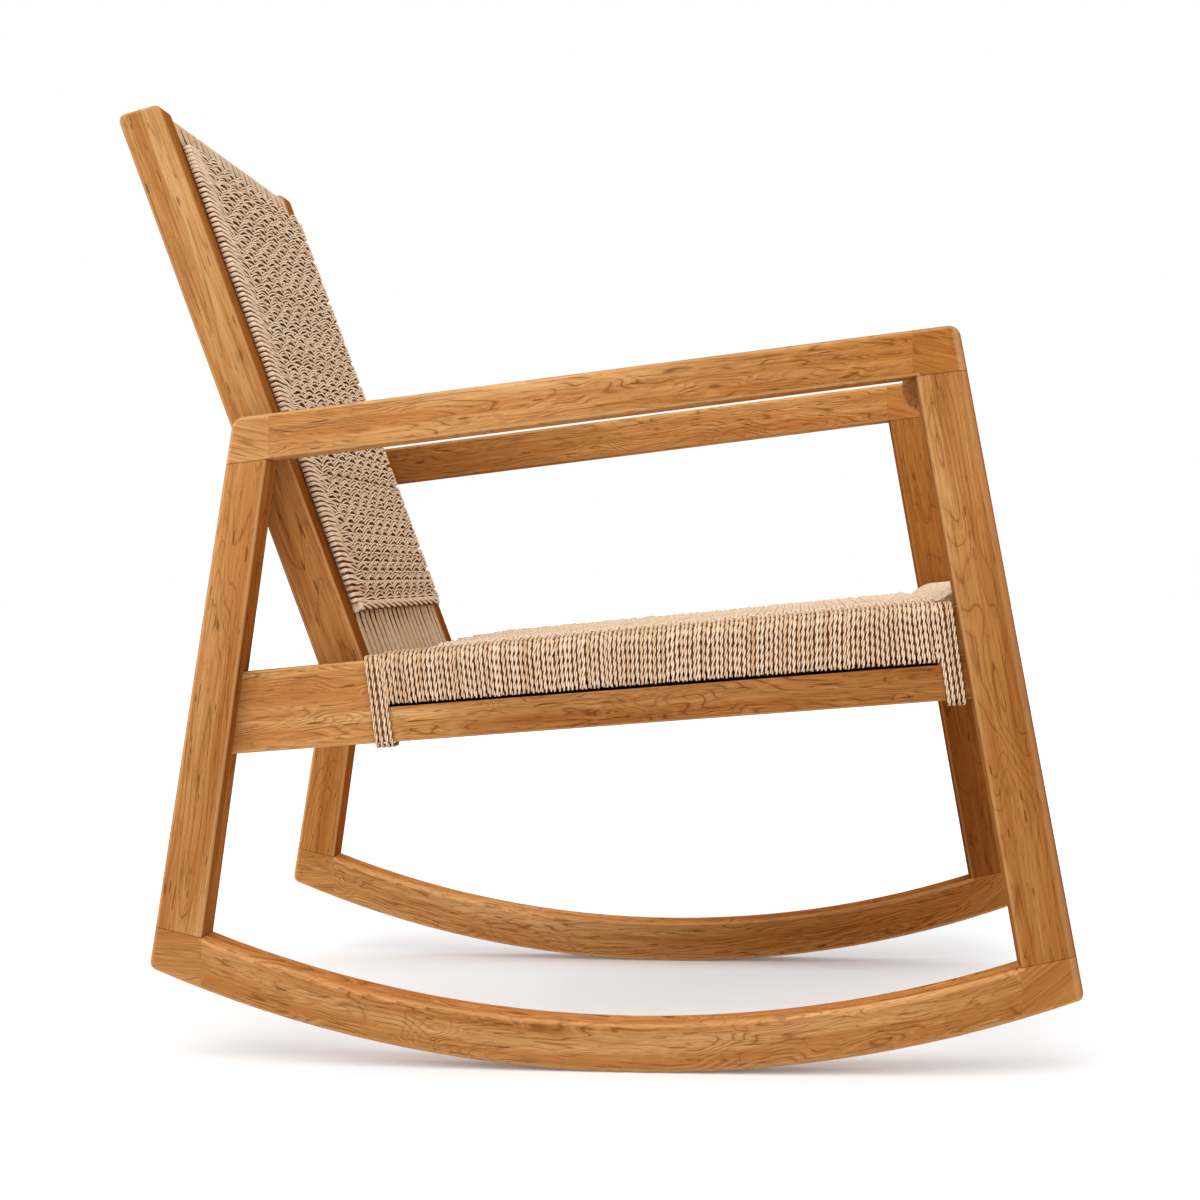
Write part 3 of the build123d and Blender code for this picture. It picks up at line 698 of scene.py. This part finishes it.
def side_run(x, closed_in):
    """Right half of a cord at the side rail, from its nail through the slot, up and over to the seat.

    A cord that is closed_in goes back down behind the rail.
    """
    slot = rail_bottom(x) + slot_above_bottom
    top = rail_top(x) + cord_lift
    outer = -(rail_side + cord_lift)
    inner = -(inner_side - cord_lift)
    low = slot + 0.0024 + chance.normal(0, 0.0002)
    drift = wrap_lean(x)
    sway, phase = chance.normal(0, 0.0005), chance.uniform(0, 6.28)
    points = [(inner, slot - 0.0105), (inner, slot + 0.0075), (-rail_middle, slot + 0.0080), (outer, low)]
    for t in (0.25, 0.5, 0.75):
        points.append((outer, low + (top - low) * t))
    points += [(outer, top - 0.011), (outer + 0.0012, top + 0.0006)]
    points += [(-rail_middle, top + 0.0022), (-rail_middle + 0.008, top + 0.0024)]
    points += [(inner, top + 0.0005), (inner, slot + 0.013)] if closed_in else [(inner, top + weft_lift)]
    line = []
    for k, (y, z) in enumerate(points):
        outside = y < -rail_middle - 0.005
        lean = drift * (top - z) if outside or z < slot + 0.01 else 0.0
        over = 0.0014 * (smooth(z, top - 0.009, top) if outside else 1.0)
        line.append((x + lean + over + sway * math.sin(phase + 2.2 * k), y, z))
    return rounded(line, 0.0085, 4)


def weft_line(x, k):
    """A cord across the seat, over and under the groups of cords that run from front to rear."""
    across = np.arange(-weft_reach, weft_reach + 1e-5, weft_reach * 2 / weft_steps)
    hold = smooth(weft_reach - abs(across), 0.0, 0.012)
    half_turns = (across - group_pitch / 2) / group_pitch + k // 2
    swing = seat_swing * np.cos(math.pi * half_turns) * hold
    middle = rail_top(x) + cord_lift + weft_lift + (0.0002 + chance.normal(0, 0.0006)) * hold
    wander = 0.0003 * np.sin(across * 70 + k) + chance.normal(0, 0.00015)
    return np.stack([x + wander, across, middle + swing], axis=1)


def slot_cords(flip):
    """Cords that run along the inner face of a side rail, over its slot."""
    x = np.linspace(*slot_cord_ends, 72)
    y = np.full(len(x), flip * (inner_side - 3 * cord_lift))
    low = rail_bottom(x) + slot_above_bottom - 0.0002
    return [np.stack([x, y, low + slot_cord_pitch * k], axis=1) for k in range(slot_cord_count)]


def wind_sides_and_across(wrap_x):
    wraps, wefts = [], []
    twist_start = 0.0
    for k, x in enumerate(wrap_x):
        crossing = x > seat_rear
        run = side_run(x, not crossing)
        twist_start += chance.normal(0.4, 1.1)
        wraps += plies(run, start=twist_start)
        if crossing:
            wefts.append(weft_line(x, k))
    tones = np.repeat(chance.normal(0, 1, len(wraps) // 2), 2)
    wind("right_side_wraps", wraps, ply_radius, ["right_side_cord"], wrap_paper, tones=tones)
    mirrored = [line[::-1] * np.array([1, -1, 1]) for line in wraps]
    wind("left_side_wraps", mirrored, ply_radius, ["left_side_cord"], wrap_paper, tones=tones[::-1])
    for side_name, flip in (("right", -1), ("left", 1)):
        replaced = [f"{side_name}_side_cord"]
        wind(f"{side_name}_side_runs", slot_cords(flip), cord_radius, replaced, wrap_paper)
    wind("seat_weft", wefts, cord_radius, ["seat_weave"], seat_weft_paper)


# ---------------------------------------------------------------- seat: cords from front rail to rear rail
def rail_frame(rail):
    """Turns a place behind and above a cross rail's top middle into x and z."""
    x, rise, _, _ = rail
    top = rail_top(x) + rise
    cos_t, sin_t = math.cos(seat_tilt), math.sin(seat_tilt)
    return lambda a, b: (x + a * cos_t - b * sin_t, top + a * sin_t + b * cos_t)


def seat_warp(group, index, y_seat, y_rail, first_pair_x):
    """A cord up round the front rail, over and under pairs of cords of the seat and round the rear rail."""
    front, rear = rail_frame(front_rail), rail_frame(rear_rail)
    half_front, deep_front = front_rail[2] / 2 + cord_lift, -front_rail[3] - cord_lift
    half_rear, deep_rear = rear_rail[2] / 2 + cord_lift, -rear_rail[3] - cord_lift
    lead = [front(-half_front, -0.030), front(-half_front, deep_front), front(half_front, deep_front)]
    lead += [front(half_front, cord_lift), front(-half_front + 0.002, cord_lift)]
    lead += [front(-half_front - 0.010, -0.0045)]
    lead = rounded([(x, 0, z) for x, z in lead], 0.0100, 4)
    start_x, end_x = lead[-1][0] - 0.006, rear(half_rear, 0)[0] + 0.004
    spots = np.arange(start_x, end_x, -wrap_pitch)
    swing = np.cos(math.pi * (spots - first_pair_x) / (2 * wrap_pitch) + math.pi * group)
    hold = smooth(start_x - spots, 0.0, 0.012) * smooth(spots - end_x, 0.0, 0.012)
    height = rail_top(spots) + cord_lift + warp_lift - seat_swing * swing * hold
    body = np.stack([spots, spots * 0, height], axis=1)
    tail = [rear(half_rear - 0.004, 0.0048), rear(-half_rear, cord_lift), rear(-half_rear, deep_rear)]
    tail += [rear(half_rear, deep_rear), rear(half_rear, -0.012)]
    tail = rounded([(x, 0, z) for x, z in tail], cord_bend, 3)
    line = np.vstack([lead, body, tail])
    behind_front = front_rail[0] - 0.022 - line[:, 0]
    at_seat = smooth(behind_front, 0.0, 0.05) * smooth(line[:, 0] - rear_rail[0], 0.0, 0.05)
    line[:, 1] = y_rail + (y_seat - y_rail) * at_seat + 0.0003 * np.sin(line[:, 0] * 60 + index * 2)
    return line


def weave_front_to_rear(wrap_x):
    seat_half = weft_reach - 0.0026 - cord_radius
    last = group_count * group_size - 1
    lines = []
    for index in range(last + 1):
        group, k = index // group_size - group_count // 2, index % group_size
        y_seat = (group + 0.5) * group_pitch + (k - (group_size - 1) / 2) * warp_pitch
        y_rail = -seat_half + 2 * seat_half * index / last
        y_seat = max(-seat_half, min(seat_half, y_seat + chance.normal(0, 0.0001)))
        y_rail += chance.normal(0, 0.0002)
        lines.append(seat_warp(group, index, y_seat, y_rail, wrap_x[0] + wrap_pitch / 2))
    half = len(lines) // 2
    replaced = ["seat_weave", "front_rail_cord", "rear_rail_cord"]
    wind("right_seat_warp", lines[:half], cord_radius, replaced, seat_warp_paper)
    wind("left_seat_warp", lines[half:], cord_radius, replaced, seat_warp_paper)


# ---------------------------------------------------------------- lashings at the ends of the side rails
def lashing(start_x):
    """Turns of cord round the whole of the right side rail."""
    outer, inner = -(rail_side + cord_lift), -(inner_side - cord_lift)
    lines = []
    for k in range(lash_turns):
        x = start_x + cord_radius + k * lash_pitch
        top, low = rail_top(x) + cord_lift, rail_bottom(x) - cord_lift
        points = []
        for y, z in ((outer, low), (outer, (top + low) / 2), (outer, top), (inner, top), (inner, low)):
            wander_x, wander_y = chance.normal(0, 0.0004), chance.normal(0, 0.0003)
            points.append((x + run_lean * (top - z) + wander_x, y + wander_y, z))
        lines += plies(rounded(points, 0.006, 3, True), True, chance.uniform(0, 6.28))
    return lines


def lash_side_rails():
    lashings = {"rear": lashing(rear_lash_x), "front": lashing(front_lash_x)}
    for side_name, flip in (("right", 1), ("left", -1)):
        for end_name, lines in lashings.items():
            turned = [line[::flip] * np.array([1, flip, 1]) for line in lines]
            node_name = f"{side_name}_{end_name}_lashing"
            wind(node_name + "_turns", turned, ply_radius, [node_name], wrap_paper, True)


# ---------------------------------------------------------------- back: plain cords up and down
def back_warp(y):
    """A cord from behind the top rail, over it, down the back and under the bottom rail."""
    front, rear = back_rail_ahead + cord_lift, back_rail_ahead - back_rail_thickness - cord_lift
    over, under = top_rail[1] + cord_lift, top_rail[0] - cord_lift
    points = [(under, front - 0.005), (under, rear), (over, rear), (over, front), (weave_end + 0.004, front)]
    points += [(along, cord_lift + 0.0002) for along in np.arange(0.90, 0.46, -0.054)]
    low, high = bottom_rail[0] - cord_lift, bottom_rail[1] + cord_lift
    points += [(weave_start - 0.004, front), (low, front), (low, rear), (high, rear), (high, front - 0.005)]
    places = [on_back(along, ahead) for along, ahead in points]
    line = rounded([(x, y, z) for x, z in places], cord_bend, 3)
    line[:, 1] += 0.0003 * np.sin(line[:, 2] * 37 + y * 90)
    return line


def wind_back_up_and_down():
    lines = []
    for group in range(back_groups):
        middle = (group - (back_groups - 1) / 2) * back_pitch
        for k in range(back_group_size):
            y = middle + (k - (back_group_size - 1) / 2) * warp_pitch + chance.normal(0, 0.0002)
            lines.append(back_warp(y))
    replaced = ["top_rail_cord", "bottom_rail_cord", "back_weave"]
    wind("back_warp", lines, cord_radius, replaced, back_warp_paper)


# ---------------------------------------------------------------- back: woven cords across
def post_turn(body, at, side, along):
    """How a woven cord ends: round the side of a post, from its point at one end of the body."""
    edge = side * weave_side
    turn_y = edge - side * end_radius
    fold_ahead, under = row_ahead + 0.0001, 0.0026
    corners = [(fold_ahead, turn_y), (under, turn_y), (under, edge - side * 0.008)]
    points = [body[at, :3]]
    for ahead, y in corners:
        x, z = on_back(along, ahead)
        points.append((x, y, z))
    turn = rounded(points, 0.0026, 2)[1:]
    return np.c_[turn, np.full(len(turn), body[at, 3])]


def back_cord(index, phase):
    """One of the two cords of a woven row: a chain of arches, in front at each crest, tucked in at the feet.

    The last cord of a group runs nearly straight behind the arches. On the sitter's right the rows start
    higher and run down to their places, and on the left they are gathered in bundles.
    """
    row, part, place = index // 2, index % 2, index % cords_in_group
    behind = place == cords_in_group - 1
    span = weave_side - 0.0045
    across = np.linspace(-span, span, 150)
    from_right, from_left = across + span, span - across
    hold = smooth(from_right, 0.008, 0.075) * smooth(from_left, 0.0, 0.014)
    spread = smooth(from_right, 0.006, 0.040) * smooth(from_left, 0.004, 0.016)
    turn = full_turn * across / arch_length + phase + 0.8 * np.sin(across * 21 + row * 0.9)
    crest = 2 * abs(np.cos(turn / 2)) ** 1.1 - 1
    depth = -0.0014 if behind else -0.0004 + 0.0010 * crest
    ahead = row_ahead + 0.0010 * spread + depth * hold

    level = 0.25 if row > row_count - 2 else chance.uniform(0.9, 1.35) - 0.08 * place
    if behind:
        level *= 0.1
    rise = arch_rise * level * crest * hold + chance.normal(0, 0.0002)
    from_bundle = row % bundle_rows - (bundle_rows - 1) / 2
    gathered = from_bundle * row_pitch * 0.17 * smooth(across, span - 0.030, span - 0.006)
    start_rise = min(1.0, row / 6, (row_count - row) / 8) * 0.0070
    along = weave_end - 0.0025 - row * row_pitch + rise + gathered
    along = along + start_rise * (1 - smooth(from_right, 0.006, 0.085))
    along = along + (0.5 - part) * (0.0004 + 0.0021 * spread)

    x, z = on_back(along, ahead)
    end_bulk, bulk = end_radius / row_radius, 1.5 if behind else 1.0
    body = np.stack([x, across, z, end_bulk + (bulk - end_bulk) * spread], axis=1)
    right_turn, left_turn = post_turn(body, 0, -1, along[0]), post_turn(body, -1, 1, along[-1])
    return np.vstack([right_turn[::-1], body, left_turn])


def weave_back_across():
    cords = []
    for index in range(2 * row_count):
        if index % cords_in_group == 0:
            group_phase = math.pi * (index // cords_in_group) + chance.normal(0, 0.9)
        cords.append(back_cord(index, group_phase))
    quarter = math.ceil(len(cords) / 4)
    for k, part_name in enumerate(("top", "upper", "lower", "bottom")):
        part = cords[k * quarter : (k + 1) * quarter]
        wind(f"{part_name}_back_weft", part, row_radius, ["back_weave"], back_weft_paper)


# ---------------------------------------------------------------- back: twined border under the weave
def twine_back_border():
    """Three cords twined under the last row, a knot at each end, and cords up the posts under the turns."""
    middle, front, reach = weave_start + 0.0052, 0.0047, weave_side - 0.010
    lay, strands, border_radius = 0.105, 3, 0.0025
    across = np.arange(-reach, reach, 0.0027)
    border = []
    for k in range(strands):
        angle = full_turn * (across / lay + k / strands)
        x, z = on_back(middle + 0.0027 * np.cos(angle), front + 0.0014 * np.sin(angle))
        border.append(np.stack([x, across, z], axis=1))
    for side in (-1, 1):
        for y in (0.2440, 0.2475):
            x, z = on_back(np.array([weave_start, weave_end - 0.004]), 0.0021)
            border.append(np.stack([x, np.full(2, side * y), z], axis=1))
    knot_turns, knot_radius = 3, 0.0036
    angle = np.linspace(0, knot_turns * full_turn, 34)
    for start_y, side in ((-reach + 0.001, 1), (reach - 0.001, -1)):
        x, z = on_back(middle + knot_radius * np.cos(angle), front + 0.0015 * np.sin(angle))
        border.append(np.stack([x, start_y + side * knot_radius * angle / full_turn, z], axis=1))
    wind("back_border_twine", border, border_radius, ["back_weave"], back_weft_paper)


wrap_places = [wrap_start + wrap_pitch * k + chance.normal(0, 0.00022) for k in range(wrap_count)]
wind_sides_and_across(wrap_places)
weave_front_to_rear(wrap_places)
lash_side_rails()
wind_back_up_and_down()
weave_back_across()
twine_back_border()


# ---------------------------------------------------------------- floor, light and camera
def floor():
    """A pale plain floor that gives off a little light of its own."""
    f = Finish("studio_floor")
    shade = f.blend(f.noise(f.here(), (0.8, 0.8, 0.8), 1.0), paint(240, 243, 246), paint(243, 246, 249))
    material = f.finish(shade, 0.9, Emission_Color=(1, 1, 1, 1), Emission_Strength=0.12)
    sheet = bmesh.new()
    bmesh.ops.create_grid(sheet, x_segments=8, y_segments=8, size=30)
    mesh = bpy.data.meshes.new("studio_floor")
    sheet.to_mesh(mesh)
    sheet.free()
    mesh.materials.append(material)
    ground = bpy.data.objects.new("studio_floor", mesh)
    ground.location.z = -0.0003
    bpy.context.scene.collection.objects.link(ground)


def key_light():
    """A wide soft light from above, behind the camera's left shoulder."""
    lamp = bpy.data.lights.new("key_softbox", "SUN")
    lamp.energy, lamp.angle = 1.6, math.radians(60)
    light = bpy.data.objects.new("key_softbox", lamp)
    light.rotation_euler = (math.radians(49), 0, math.radians(-18))
    bpy.context.scene.collection.objects.link(light)


def studio_air():
    """An even white room, whose light on the chair is a little weaker than it looks."""
    world = bpy.data.worlds.new("studio")
    bpy.context.scene.world = world
    world.use_nodes = True
    air = world.node_tree.nodes["Background"]
    looks = world.node_tree.nodes.new("ShaderNodeLightPath").outputs["Is Camera Ray"]
    level = world.node_tree.nodes.new("ShaderNodeMapRange")
    level.inputs["To Min"].default_value, level.inputs["To Max"].default_value = 0.95, 1.0
    world.node_tree.links.new(looks, level.inputs["Value"])
    world.node_tree.links.new(level.outputs["Result"], air.inputs["Strength"])
    air.inputs["Color"].default_value = (1, 1, 1, 1)


def camera():
    """A level camera as high as the seat, which sees the right side and a little of the front."""
    lens = bpy.data.cameras.new("studio_camera")
    lens.lens, lens.sensor_width = 71.166, 36.0
    lens.shift_y = -0.02267
    eye = bpy.data.objects.new("studio_camera", lens)
    eye.location = (0.19247, -2.470, 0.4515)
    eye.rotation_euler = (math.radians(90), 0, math.radians(4.8))
    bpy.context.scene.collection.objects.link(eye)
    bpy.context.scene.camera = eye


floor()
key_light()
studio_air()
bpy.context.scene.view_settings.view_transform = "Standard"
camera()
